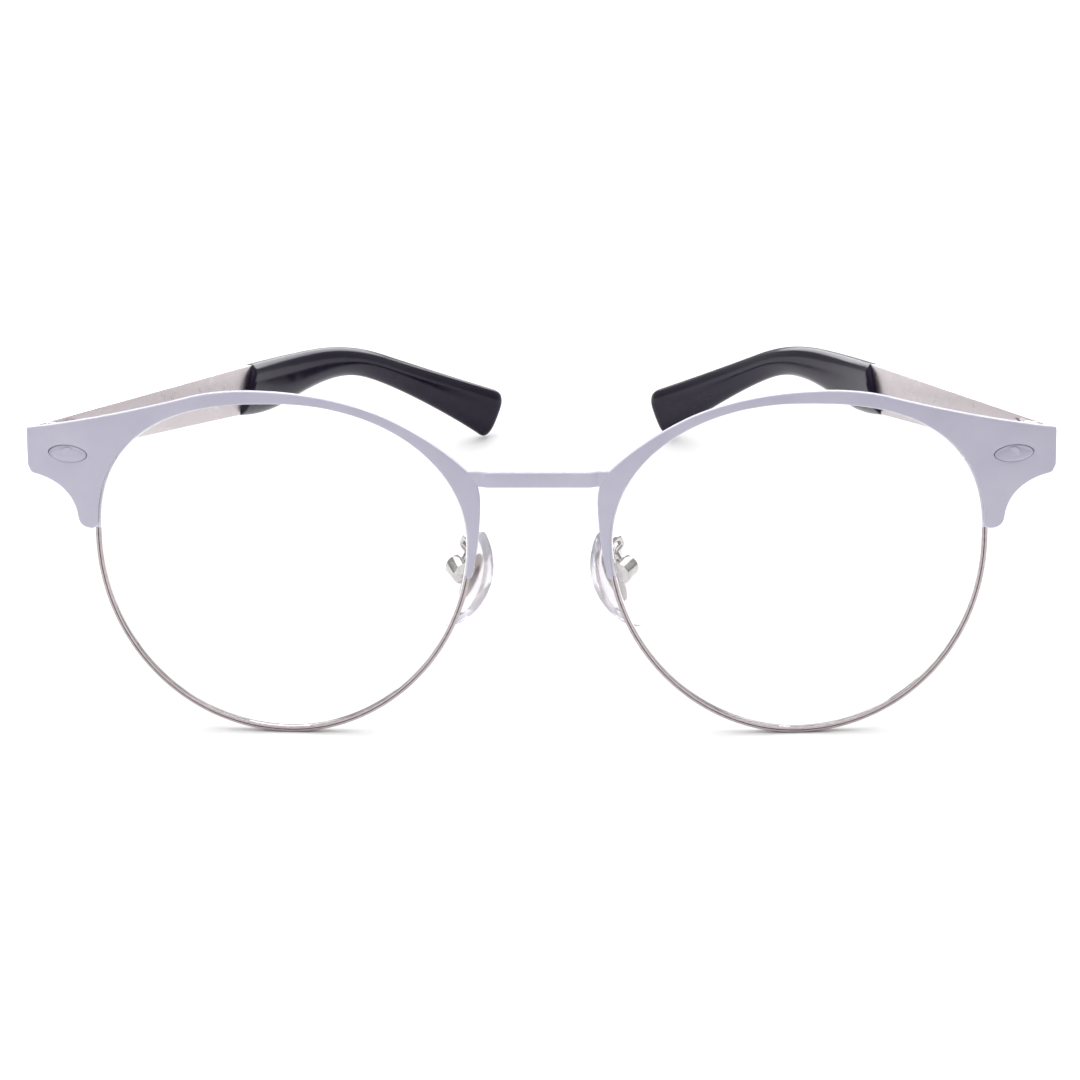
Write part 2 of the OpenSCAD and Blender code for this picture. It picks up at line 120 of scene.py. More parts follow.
def inset(pts, d):
    """A closed outline moved inwards by d (anticlockwise outlines), with mitred corners."""
    n, out = len(pts), []
    area = sum(a[0] * b[1] - b[0] * a[1] for a, b in zip(pts, pts[1:] + pts[:1]))
    sign = 1 if area > 0 else -1
    for i in range(n):
        a, p, b = Vector(pts[i - 1]), Vector(pts[i]), Vector(pts[(i + 1) % n])
        e, f = (p - a).normalized(), (b - p).normalized()
        m = Vector((-(e.y + f.y), e.x + f.x)) * sign
        if m.length < 1e-6:
            m = Vector((-e.y, e.x)) * sign
        m.normalize()
        k = max(0.72, abs(m.dot(Vector((-e.y, e.x)) * sign)))
        out.append(tuple(p + m * (d / k)))
    return out


# ---- mesh helpers -------------------------------------------------------------------------

def build(name, verts, faces, mats, body, stands_for, left=False, sharp=32, face_mat=None):
    """One piece from vertices in design millimetres, mirrored for the left side."""
    me = bpy.data.meshes.new(name)
    sx = -1 if left else 1
    me.from_pydata([(sx * v[0] * MM, (v[1] + SHIFT) * MM, v[2] * MM) for v in verts], [], faces)
    ob = bpy.data.objects.new(name, me)
    bpy.context.scene.collection.objects.link(ob)
    for m in mats:
        me.materials.append(m)
    if face_mat:
        for poly, k in zip(me.polygons, face_mat):
            poly.material_index = k
    bm = bmesh.new()
    bm.from_mesh(me)
    bmesh.ops.remove_doubles(bm, verts=bm.verts, dist=1e-7)
    bmesh.ops.recalc_face_normals(bm, faces=bm.faces)
    for f in bm.faces:
        f.smooth = True
    for e in bm.edges:
        if len(e.link_faces) == 2:
            e.smooth = e.calc_face_angle(0) < math.radians(sharp)
    bm.to_mesh(me)
    bm.free()
    me.update()
    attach(ob, body)
    if stands_for:
        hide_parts(*stands_for)
    return ob


def loft(sections, close_ends=True):
    """Closed rings joined one to the next."""
    n = len(sections[0])
    verts = [v for s in sections for v in s]
    faces = []
    for i in range(len(sections) - 1):
        for j in range(n):
            a, b = i * n + j, i * n + (j + 1) % n
            faces.append((a, b, b + n, a + n))
    if close_ends:
        faces.append(tuple(range(n))[::-1])
        faces.append(tuple(range(len(verts) - n, len(verts))))
    return verts, faces


def round_rect(w, h, r, seg=4, crown=0.0):
    """Points round a rectangle of width w and height h with round corners, width bulged by crown."""
    out = []
    for cx, cy, a0 in ((w / 2 - r, h / 2 - r, 0), (-w / 2 + r, h / 2 - r, 90),
                       (-w / 2 + r, -h / 2 + r, 180), (w / 2 - r, -h / 2 + r, 270)):
        for i in range(seg + 1):
            a = math.radians(a0 + 90 * i / seg)
            out.append((cx + r * math.cos(a), cy + r * math.sin(a)))
    return [(x * (1 - crown * (2 * y / h) ** 2), y) for x, y in out]


def fill(outline, holes, step):
    """Triangles over an outline with holes, with inner points so that they can follow a curve."""
    loops = [outline] + holes
    pts, edges = [], []
    for lp in loops:
        k = len(pts)
        pts += [Vector(p) for p in lp]
        edges += [(k + i, k + (i + 1) % len(lp)) for i in range(len(lp))]
    rim = len(pts)
    xs, ys = [p[0] for p in outline], [p[1] for p in outline]

    def inside(x, y, lp):
        hit = False
        for a, b in zip(lp, lp[1:] + lp[:1]):
            if (a[1] > y) != (b[1] > y) and x < (b[0] - a[0]) * (y - a[1]) / (b[1] - a[1]) + a[0]:
                hit = not hit
        return hit

    row, y = 0, min(ys)
    while y < max(ys):
        x = min(xs) + (step / 2 if row % 2 else 0)
        while x < max(xs):
            near = min((x - p[0]) ** 2 + (y - p[1]) ** 2 for lp in loops for p in lp)
            clear = near > (step * 0.55) ** 2
            if clear and inside(x, y, outline) and not any(inside(x, y, h) for h in holes):
                pts.append(Vector((x, y)))
            x += step
        y += step * 0.866
        row += 1
    vs, _, tris, _, _, _ = delaunay_2d_cdt(pts, edges, [], 0, 1e-7)
    keep = []
    for t in tris:
        cx, cy = sum(vs[i].x for i in t) / 3, sum(vs[i].y for i in t) / 3
        if inside(cx, cy, outline) and not any(inside(cx, cy, h) for h in holes):
            keep.append(tuple(t))
    return [tuple(v) for v in vs], keep, rim


# ---- materials ------------------------------------------------------------------------------

def material(name):
    m = bpy.data.materials.new(name)
    m.use_nodes = True
    nt = m.node_tree
    nt.nodes.clear()
    out = nt.nodes.new("ShaderNodeOutputMaterial")
    p = nt.nodes.new("ShaderNodeBsdfPrincipled")
    nt.links.new(p.outputs[0], out.inputs[0])
    co = nt.nodes.new("ShaderNodeTexCoord")
    return m, nt, p, co.outputs["Object"], out


def noise(nt, vec, scale, detail=3.0, rough=0.5, stretch=None):
    if stretch:
        mp = nt.nodes.new("ShaderNodeMapping")
        mp.inputs["Scale"].default_value = stretch
        nt.links.new(vec, mp.inputs["Vector"])
        vec = mp.outputs[0]
    n = nt.nodes.new("ShaderNodeTexNoise")
    n.inputs["Scale"].default_value = scale
    n.inputs["Detail"].default_value = detail
    n.inputs["Roughness"].default_value = rough
    nt.links.new(vec, n.inputs["Vector"])
    return n.outputs["Fac"]


def ramp(nt, fac, stops):
    r = nt.nodes.new("ShaderNodeValToRGB")
    el = r.color_ramp.elements
    el[0].position, el[0].color = stops[0][0], (*stops[0][1], 1)
    el[1].position, el[1].color = stops[-1][0], (*stops[-1][1], 1)
    for pos, col in stops[1:-1]:
        e = el.new(pos)
        e.color = (*col, 1)
    nt.links.new(fac, r.inputs[0])
    return r.outputs[0]


def rng(nt, fac, lo, hi, a=0.3, b=0.7):
    r = nt.nodes.new("ShaderNodeMapRange")
    for k, v in (("From Min", a), ("From Max", b), ("To Min", lo), ("To Max", hi)):
        r.inputs[k].default_value = v
    nt.links.new(fac, r.inputs["Value"])
    return r.outputs[0]


def bump(nt, height, dist, p, strength=1.0, under=None):
    b = nt.nodes.new("ShaderNodeBump")
    b.inputs["Distance"].default_value = dist
    b.inputs["Strength"].default_value = strength
    nt.links.new(height, b.inputs["Height"])
    if under is not None:
        nt.links.new(under, b.inputs["Normal"])
    nt.links.new(b.outputs[0], p.inputs["Normal"])
    return b.outputs[0]


def paint_material():
    """Satin lilac-grey enamel: faint clouding of the colour, fine orange peel under a thin coat."""
    m, nt, p, co, _ = material("brow_paint")
    cloud = noise(nt, co, 160, 4)
    nt.links.new(ramp(nt, cloud, [(0.3, (0.468, 0.453, 0.560)), (0.7, (0.508, 0.493, 0.596))]),
                 p.inputs["Base Color"])
    nt.links.new(rng(nt, noise(nt, co, 900, 3), 0.36, 0.46), p.inputs["Roughness"])
    p.inputs["Specular IOR Level"].default_value = 0.55
    p.inputs["Coat Weight"].default_value = 0.35
    p.inputs["Coat Roughness"].default_value = 0.22
    b = bump(nt, noise(nt, co, 2600, 2), 2.0e-6, p, 0.5)
    bump(nt, noise(nt, co, 9000, 2), 6.0e-7, p, 0.5, b)
    return m


def rim_enamel_lit_copy_material():
    """The brow's enamel where it covers the rim wire, in a paler copy as painted light: the paler colour paints
    the bright, lit strip along the rim's inner face.
    """
    m, nt, p, co, _ = material("rim_enamel_lit_copy")
    # painted light: this pale lilac-white stands in for light on the rim's enamel, which is the brow's colour
    nt.links.new(ramp(nt, noise(nt, co, 300, 3), [(0.3, (0.74, 0.73, 0.80)), (0.7, (0.82, 0.81, 0.87))]),
                 p.inputs["Base Color"])
    nt.links.new(rng(nt, noise(nt, co, 1200, 3), 0.26, 0.36), p.inputs["Roughness"])
    p.inputs["Coat Weight"].default_value = 0.4
    p.inputs["Coat Roughness"].default_value = 0.15
    bump(nt, noise(nt, co, 4000, 2), 1.0e-6, p, 0.5)
    return m


def metal_material(name, dark, light, r0, r1, grain=None, lines=0.0, fine=2500):
    m, nt, p, co, _ = material(name)
    p.inputs["Metallic"].default_value = 1.0
    fac = noise(nt, co, fine if grain is None else 1.0, 5, 0.62, grain)
    nt.links.new(ramp(nt, fac, [(0.28, dark), (0.72, light)]), p.inputs["Base Color"])
    nt.links.new(rng(nt, noise(nt, co, 420, 4), r0, r1), p.inputs["Roughness"])
    b = bump(nt, fac, lines if lines else 4.0e-7, p, 0.6)
    bump(nt, noise(nt, co, 700, 3), 1.5e-6, p, 0.12, b)
    return m


def tip_material():
    """Polished black acetate: deep black with a trace of warm and cool streaks under the gloss."""
    m, nt, p, co, _ = material("tip_acetate")
    streaks = noise(nt, co, 60, 5, 0.6, (1.0, 1.0, 3.0))
    nt.links.new(ramp(nt, streaks, [(0.3, (0.0060, 0.0042, 0.0110)), (0.7, (0.0110, 0.0085, 0.0190))]),
                 p.inputs["Base Color"])
    nt.links.new(rng(nt, noise(nt, co, 350, 4), 0.10, 0.17), p.inputs["Roughness"])
    p.inputs["IOR"].default_value = 1.38
    p.inputs["Specular IOR Level"].default_value = 0.24
    p.inputs["Specular Tint"].default_value = (0.78, 0.68, 1.0, 1)
    bump(nt, noise(nt, co, 160, 2), 6.0e-6, p, 0.25)
    return m


def clear_material(name, ior, rough, tint_a, tint_b, scale, through):
    """Clear lens or silicone. Lamps shine through it, so it throws no dark shadow."""
    m, nt, p, co, out = material(name)
    nt.links.new(ramp(nt, noise(nt, co, scale, 3), [(0.3, tint_a), (0.7, tint_b)]), p.inputs["Base Color"])
    p.inputs["Transmission Weight"].default_value = 1.0
    p.inputs["IOR"].default_value = ior
    nt.links.new(rng(nt, noise(nt, co, scale * 4, 3), rough[0], rough[1]), p.inputs["Roughness"])
    tr = nt.nodes.new("ShaderNodeBsdfTransparent")
    tr.inputs[0].default_value = (*through, 1)
    lp = nt.nodes.new("ShaderNodeLightPath")
    mx = nt.nodes.new("ShaderNodeMixShader")
    nt.links.new(lp.outputs["Is Shadow Ray"], mx.inputs[0])
    nt.links.new(p.outputs[0], mx.inputs[1])
    nt.links.new(tr.outputs[0], mx.inputs[2])
    nt.links.new(mx.outputs[0], out.inputs[0])
    return m


PAINT = paint_material()
# a paler, lit copy of the brow enamel for the rim wire: painted light
RIM_ENAMEL_LIT_COPY = rim_enamel_lit_copy_material()
RIM = metal_material("rim_metal", (0.36, 0.315, 0.325), (0.50, 0.44, 0.45), 0.14, 0.26, fine=1800)
# dark metal for the fine groove in the rim's front face: painted shade and dark reflection, not the wire's own
# colour
RIM_SHADE_LINE = metal_material("rim_painted_shade_line", (0.10, 0.085, 0.095), (0.19, 0.165, 0.175), 0.2, 0.34, fine=1800)
BLADE = metal_material("blade_metal", (0.52, 0.465, 0.48), (0.60, 0.545, 0.565), 0.26, 0.36,
                       grain=(2400, 70, 5200), lines=6.0e-7)
BRIGHT = metal_material("fitting_metal", (0.44, 0.415, 0.41), (0.58, 0.55, 0.545), 0.07, 0.15, fine=1500)
INSERT = metal_material("insert_metal", (0.52, 0.47, 0.43), (0.66, 0.61, 0.57), 0.28, 0.40, fine=1500)
TIP = tip_material()
LENS = clear_material("lens_clear", 1.5, (0.0, 0.004), (0.994, 0.997, 0.997), (0.998, 1.0, 1.0), 90,
                      (0.93, 0.94, 0.94))
PAD = clear_material("pad_silicone", 1.33, (0.02, 0.07), (0.925, 0.915, 0.985), (0.965, 0.955, 0.995), 400,
                     (0.80, 0.79, 0.79))
PAD.node_tree.nodes["Principled BSDF"].inputs["Transmission Weight"].default_value = 0.80

# ---- front ----------------------------------------------------------------------------------


def brow_outline():
    w, top = HALF_W, BROW_TOP - 0.004
    arc = [lens_pt(REVEAL, a) for a in [189.6 + (3.6 - 189.6) * i / 400 for i in range(401)]]
    pts = [(w - 0.55, 43.85)]
    pts += bez(pts[-1], (64, 45.25), (55.5, 47.35), (47.7, 49.55), 34)
    pts += bez(pts[-1], (45, 50.25), (41.5, top + 0.1), (38.4, top), 14)
    pts += bez(pts[-1], (32.2, top - 0.1), (26.3, 49.3), (21.2, 47.05), 24)
    pts += bez(pts[-1], (16.6, 44.9), (12.4, 41.9), (9.3, 38.6), 20)
    pts += bez(pts[-1], (8.5, 37.6), (8.05, 36.2), (8.1, 34.4), 9)
    pts += bez(pts[-1], (8.2, 31.0), (8.5, 28.0), (9.35, 24.2), 16)
    pts += bez(pts[-1], (9.5, 23.75), (9.8, 23.7), (10.2, 23.72), 4)
    pts += even(arc, 120)
    pts += [(62.3, 30.32), (62.9, 30.3)]
    pts += bez(pts[-1], (63.8, 30.4), (64.3, 30.8), (64.45, 31.7), 6)
    pts += bez(pts[-1], (64.75, 35.0), (67.2, 36.9), (w - 0.95, 37.45), 18)
    pts += [(w - 0.65, 37.53), (w - 0.46, 37.65), (w - 0.36, 37.8), (w - 0.07, 38.42), (w, 38.62), (w, 39.4),
            (w, 40.3), (w, 41.4), (w, 42.5), (w, 43.3), (w - 0.03, 43.55), (w - 0.11, 43.7), (w - 0.24, 43.8),
            (w - 0.4, 43.83)]
    return pts


def oval(g, n=64):
    return [(RIV_X + (RIV_W / 2 + g) * math.cos(2 * math.pi * i / n),
             RIV_Z + (RIV_H / 2 + g) * sp(math.sin(2 * math.pi * i / n), 1.12)) for i in range(n)]


def rounded_plate(outline, r_front, r_back, edge, hole=None, depth=0.0, lip=0.12, step=1.5):
    """A plate on the front's curve with a round edge, and with a round-lipped recess in its face."""
    n = len(outline)
    verts, faces = [], []
    rings = []
    for k in range(6):
        a = math.radians(90 * k / 5)
        rings.append((edge * (1 - math.sin(a)), r_front - edge * (1 - math.cos(a))))
    back = min(0.15, edge)
    for k in range(3):
        a = math.radians(90 * k / 2)
        rings.append((back * (1 - math.cos(a)), r_back + back * (1 - math.sin(a))))
    base = [inset(outline, d) if d > 1e-9 else outline for d, _ in rings]
    start = []
    for pts, (_, r) in zip(base, rings):
        start.append(len(verts))
        verts += [on_front(p, r) for p in pts]
    for a, b in zip(start, start[1:]):
        faces += [(a + i, a + (i + 1) % n, b + (i + 1) % n, b + i) for i in range(n)]
    holes = []
    if hole:
        m = len(hole)
        hole_rings = []
        for k in range(4):
            a = math.radians(90 * k / 3)
            hole_rings.append((lip * (1 - math.sin(a)), r_front - lip * (1 - math.cos(a))))
        hole_rings.append((0.0, r_front - depth))
        hs = []
        for d, r in hole_rings:
            hs.append(len(verts))
            verts += [on_front(p, r) for p in (inset(hole, -d) if d > 1e-9 else hole)]
        for a, b in zip(hs, hs[1:]):
            faces += [(a + i, a + (i + 1) % m, b + (i + 1) % m, b + i) for i in range(m)]
        holes = [[(v[0], v[2]) for v in verts[hs[0]:hs[0] + m]]]
        c = len(verts)
        verts.append(on_front((RIV_X, RIV_Z), r_front - depth))
        faces += [(hs[-1] + i, hs[-1] + (i + 1) % m, c) for i in range(m)]
    for pts, r, hl in ((base[0], r_front, holes), (base[-1], r_back, [])):
        vs, tris, _ = fill(pts, hl, step)
        k = len(verts)
        verts += [on_front(p, r) for p in vs]
        faces += [tuple(k + i for i in t) for t in tris]
    return verts, faces


def make_brow(left):
    side = "left" if left else "right"
    v, f = rounded_plate(brow_outline(), FRONT_R, BACK_R, 0.16, oval(RECESS_GAP), RECESS, 0.06)
    ob = build("brow_sheet_" + side, v, f, [PAINT], "front", ["brow_" + side], left, 40)


def make_rivet(left):
    side = "left" if left else "right"
    n, cx, cz = 64, RIV_X + 0.03, RIV_Z - 0.07

    def ring(d):
        return [(x - RIV_X + cx, z - RIV_Z + cz) for x, z in oval(-d)]

    def face(p, lift):
        """A point of the head's face, which leans back towards its top."""
        v = (p[1] - cz) / (RIV_H / 2)
        return on_front(p, FRONT_R - 0.13 - 0.22 * v + lift)

    verts, faces = [on_front(p, FRONT_R - RECESS) for p in ring(0.02)], []
    # inset from the head's edge, and height over the leaning face: a raised lip round a shallow dish
    rows = [(0.02, -0.10), (0.05, -0.03), (0.12, 0.0), (0.2, -0.03), (0.3, -0.10), (0.45, -0.15), (0.65, -0.16),
            (0.9, -0.13)]
    for d, lift in rows:
        verts += [face(p, lift) for p in ring(d)]
    for i in range(len(rows)):
        a, b = i * n, (i + 1) * n
        faces += [(a + j, a + (j + 1) % n, b + (j + 1) % n, b + j) for j in range(n)]
    last = prev = len(rows) * n
    for t in (0.6, 0.3):
        k = len(verts)
        edge = verts[last:last + n]
        verts += [face((cx + t * (e[0] - cx), cz + t * (e[2] - cz)), -0.11) for e in edge]
        faces += [(prev + i, prev + (i + 1) % n, k + (i + 1) % n, k + i) for i in range(n)]
        prev = k
    verts.append(face((cx, cz), -0.10))
    faces += [(prev + i, prev + (i + 1) % n, len(verts) - 1) for i in range(n)]
    faces.append(tuple(range(n)))
    y0 = front_y(RIV_X, RIV_Z, FRONT_R)
    turn = [2 * math.pi * i / 24 for i in range(24)]
    shank = ((0.8, y0 + 0.3), (0.8, y0 + 2.38), (0.68, y0 + 2.5))
    tv, tf = loft([[(RIV_X + r * math.cos(a), y, RIV_Z + r * math.sin(a)) for a in turn] for r, y in shank])
    k = len(verts)
    verts += tv
    faces += [tuple(k + i for i in t) for t in tf]
    ob = build("rivet_head_" + side, verts, faces, [PAINT], "front", ["rivet_" + side], left, 50)


def make_rim(left):
    side = "left" if left else "right"

    def angle_at(z):
        """The angle on the outer side at which the rim stands at height z."""
        lo, hi = 1.0, 80.0
        for _ in range(60):
            mid = (lo + hi) / 2
            if lens_pt(RIM_T / 2, mid)[1] < z:
                lo = mid
            else:
                hi = mid
        return lo

    # the wire runs once round, from just above its split to just below it
    a0, a1 = angle_at(SPLIT_Z + 0.13), 360 + angle_at(SPLIT_Z - 0.13)
    dense = [a0 + (a1 - a0) * i / 4000 for i in range(4001)]
    run = [0.0]
    for a, b in zip(dense, dense[1:]):
        run.append(run[-1] + math.dist(lens_pt(0.4, a), lens_pt(0.4, b)))
    angles, k = [], 0
    for i in range(301):
        t = run[-1] * i / 300
        while k < len(dense) - 2 and run[k + 1] < t:
            k += 1
        angles.append(dense[k] + (dense[k + 1] - dense[k]) * ((t - run[k]) / max(1e-9, run[k + 1] - run[k])))
    # section: a fine groove in the front face, whose faces are coloured dark as painted shade and reflection,
    # round corners, a shallow groove outside, the lens groove inside
    prof = [(0.10, BACK_R), (0.30, BACK_R), (0.34, BACK_R - 0.07), (0.40, BACK_R - 0.07), (0.44, BACK_R)]
    ro, ri, thick = 0.22, 0.10, RIM_T - FACET
    for k in range(6):
        a = math.radians(90 - 90 * k / 5)
        prof.append((thick - ro + ro * math.cos(a), BACK_R - ro + ro * math.sin(a)))
    prof += [(thick, MID_R + 0.16), (thick - 0.11, MID_R + 0.05), (thick - 0.11, MID_R - 0.05),
             (thick, MID_R - 0.16)]
    for k in range(6):
        a = math.radians(-90 * k / 5)
        prof.append((thick - ro + ro * math.cos(a), RIM_BACK + ro + ro * math.sin(a)))
    prof += [(ri, RIM_BACK), (0.03, RIM_BACK + 0.03), (0.0, RIM_BACK + ri), (0.0, MID_R - GROOVE_W / 2),
             (GROOVE, MID_R - 0.06), (GROOVE, MID_R + 0.06), (0.0, MID_R + GROOVE_W / 2), (0.0, BACK_R - ri),
             (0.03, BACK_R - 0.03)]
    secs = [[on_front(lens_pt(d, a), r) for d, r in prof] for a in angles]
    v, f = loft(secs)
    n = len(prof)
    mats = []
    for face in f:
        x = sum(v[i][0] for i in face) / len(face)
        z = sum(v[i][2] for i in face) / len(face)
        painted = z > (30.35 if x > LCX else 23.85)          # where the brow covers the wire
        # the groove faces in the front face take the dark metal: a painted shade and reflection line
        in_painted_shade_line = {face[0] % n, face[1] % n} in ({1, 2}, {2, 3}, {3, 4})
        mats.append(1 if painted else 2 if in_painted_shade_line else 0)
    ob = build("rim_wire_" + side, v, f, [RIM, RIM_ENAMEL_LIT_COPY, RIM_SHADE_LINE], "front", ["rim_" + side], left, 38, mats)


def make_lens(left):
    side = "left" if left else "right"
    n = 160
    ring = even([lens_pt(-LENS_FIT, i * 0.25) for i in range(1440)], n, True)
    big = even([lens_pt(GROOVE - LENS_FIT, i * 0.25) for i in range(1440)], n, True)
    out_r, in_r = MID_R + 0.40, MID_R - 0.60
    hw = GROOVE_W / 2 - LENS_FIT

    def scaled(t):
        return [(LCX + t * (x - LCX), LCZ + t * (z - LCZ)) for x, z in ring]
    ts = [0.06, 0.14, 0.24, 0.35, 0.46, 0.57, 0.68, 0.78, 0.87, 0.94, 0.985]
    secs = [[on_front(p, out_r) for p in scaled(t)] for t in ts]
    secs.append([on_front(p, out_r) for p in scaled(0.998)])
    secs += [[on_front(p, out_r - 0.05) for p in ring], [on_front(p, MID_R + hw) for p in ring],
             [on_front(p, MID_R) for p in big], [on_front(p, MID_R - hw) for p in ring],
             [on_front(p, in_r + 0.05) for p in ring]]
    secs.append([on_front(p, in_r) for p in scaled(0.998)])
    secs += [[on_front(p, in_r) for p in scaled(t)] for t in reversed(ts)]
    v, f = loft(secs, False)
    for r, row in ((out_r, 0), (in_r, len(secs) - 1)):
        v.append(on_front((LCX, LCZ), r))
        f += [(row * n + i, row * n + (i + 1) % n, len(v) - 1) for i in range(n)]
    ob = build("lens_disc_" + side, v, f, [LENS], "front", ["lens_" + side], left, 4)


def bridge_mid(x):
    u = min(1.0, max(0.0, (abs(x) - 6.9) / 1.3))
    return 2.4 + 0.5 * u * u * (3 - 2 * u)


def make_bridge():
    xs = even([(-9.95, 0.0), (9.95, 0.0)], 120)
    secs = []
    for x, _ in xs:
        h = 1e-3
        t = Vector((2 * h, bridge_mid(x + h) - bridge_mid(x - h))).normalized()
        nx, ny = -t.y, t.x
        sec = round_rect(BRIDGE_T, BRIDGE_H, 0.32, 4, 0.03)
        secs.append([(x + nx * a, bridge_mid(x) + ny * a, BRIDGE_Z + b) for a, b in sec])
    v, f = loft(secs)
    ob = build("bridge_bar", v, f, [PAINT], "front", ["bridge"], False, 40)


# ---- temples --------------------------------------------------------------------------------

CA, SA = math.cos(math.radians(ARM_IN)), math.sin(math.radians(ARM_IN))


def arm_point(s, off, z):
    """A point s along the arm, off outwards from its middle, at height z."""
    if s <= STRAIGHT:
        u, v = off, s
    else:
        a = (s - STRAIGHT) / ARM_R
        u, v = -ARM_R + (ARM_R + off) * math.cos(a), STRAIGHT + (ARM_R + off) * math.sin(a)
    return (ARM_X + u * CA - v * SA, ARM_Y + u * SA + v * CA, z)


def ruled(low, high, section):
    """Sections between a lower and an upper line of (s, z) points; section(h) gives the ring for height h."""
    secs = []
    for b, t in zip(low, high):
        h = math.dist(b, t)
        es, ez = (t[0] - b[0]) / h, (t[1] - b[1]) / h
        ms, mz = (t[0] + b[0]) / 2, (t[1] + b[1]) / 2
        secs.append([arm_point(ms + es * y, x, mz + ez * y) for x, y in section(h)])
    return secs


def make_blade(left):
    side = "left" if left else "right"
    lo = even([(0.55, 38.55), (JOINT_LOW[0] - 0.02, JOINT_LOW[1] + 0.06)], 70)
    hi = even([(0.35, BLADE_TOP0 - 0.1), (JOINT_TOP[0] - 0.04, JOINT_TOP[1] - 0.12)], 70)
    lo[0], hi[0] = (0.3, 38.95), (0.1, 43.5)
    v, f = loft(ruled(lo, hi, lambda h: round_rect(BLADE_T, h, 0.16, 3)))
    ob = build("temple_strip_" + side, v, f, [BLADE], "temple_" + side, ["temple_blade_" + side], left, 38)


def tip_lines(n):
    low = [JOINT_LOW]
    low += bez(low[-1], (74, 23.4), (80, 22.2), (88, 22.45), 40)
    low += bez(low[-1], (100, 22.8), (106, 22.2), (113, 19.1), 50)
    low += bez(low[-1], (121, 15.6), (134, 8.0), (144.6, 0.48), 60)
    low += [(145.6, -0.15)]
    high = [(150.3, 6.95)]
    high += bez((148.2, 8.45), (138, 13.0), (127, 18.0), (117, 22.5), 50, True)
    high += bez(high[-1], (108, 26.5), (101, 27.9), (94, 29.0), 50)
    high += bez(high[-1], (87, 30.1), (80, 31.15), JOINT_TOP, 40)
    return even(low, n), even(high[::-1], n)


def make_tip(left):
    side = "left" if left else "right"
    n = 130
    low, high = tip_lines(n)

    def lerp(a, b, t):
        return tuple(x + (y - x) * t for x, y in zip(a, b))

    length = sum(math.dist(a, b) for a, b in zip(low, low[1:]))
    front_r, back_r = 0.35, 1.45            # the ends are drawn in over these lengths, to round them
    ts = [front_r * (1 - math.cos(math.radians(a))) / length for a in (0, 30, 60, 90)]
    ts += [front_r / length + (1 - (front_r + back_r) / length) * i / 110 for i in range(1, 111)]
    ts += [1 - back_r * (1 - math.sin(math.radians(a))) / length for a in (18, 36, 54, 72, 82, 90)]
    secs = []
    for t in ts:
        k = min(n - 2, int(t * (n - 1)))
        b, top = lerp(low[k], low[k + 1], t * (n - 1) - k), lerp(high[k], high[k + 1], t * (n - 1) - k)
        d0, d1 = t * length, (1 - t) * length
        cut = 0.0
        if d0 < front_r:
            cut = front_r - math.sqrt(max(0, front_r ** 2 - (front_r - d0) ** 2))
        if d1 < back_r:
            cut = back_r - math.sqrt(max(0, back_r ** 2 - (back_r - d1) ** 2))
        h = math.dist(b, top) - 2 * cut
        w = TIP_T - 2 * min(cut, 1.25)
        es, ez = (top[0] - b[0]) / math.dist(b, top), (top[1] - b[1]) / math.dist(b, top)
        ms, mz = (top[0] + b[0]) / 2, (top[1] + b[1]) / 2
        r = min(1.05, w * 0.42)
        secs.append([arm_point(ms + es * y, x, mz + ez * y) for x, y in tip_section(w, h, r)])
    v, f = loft(secs)
    ob = build("ear_tip_" + side, v, f, [TIP], "temple_" + side, ["temple_tip_" + side], left, 40)


def tip_section(w, h, r):
    """Round-edged section with a broad, slightly crowned face and soft chamfers."""
    c = 0.13 * w
    corner = [(w / 2, 0.0), (w / 2 - 0.02 * w, h / 2 - 1.9 * r), (w / 2 - c, h / 2 - 0.95 * r),
              (w / 2 - 2.2 * c, h / 2 - 0.28 * r), (w / 2 - 3.0 * c, h / 2 - 0.04 * r), (0.0, h / 2)]
    full = corner + [(-x, y) for x, y in reversed(corner[:-1])]
    full += [(-x, -y) for x, y in corner[1:]] + [(x, -y) for x, y in reversed(corner[1:-1])]
    # smooth the ring once, so that the chamfers run softly into the faces
    ring = []
    for a, b in zip(full, full[1:] + full[:1]):
        ring += [a, ((a[0] + b[0]) / 2, (a[1] + b[1]) / 2)]
    near = zip(ring[-1:] + ring[:-1], ring, ring[1:] + ring[:1])
    return [tuple(0.25 * a + 0.5 * b + 0.25 * c for a, b, c in zip(*three)) for three in near]


# ---- nose pads ------------------------------------------------------------------------------

def pad_world(p):
    t, s = math.radians(TURN), math.radians(SPLAY)
    x = p[0] * math.cos(t) + p[1] * math.sin(t)
    y = -p[0] * math.sin(t) + p[1] * math.cos(t)
    z = p[2]
    return (PAD_X + x * math.cos(s) - z * math.sin(s), PAD_Y + y, PAD_Z + x * math.sin(s) + z * math.cos(s))


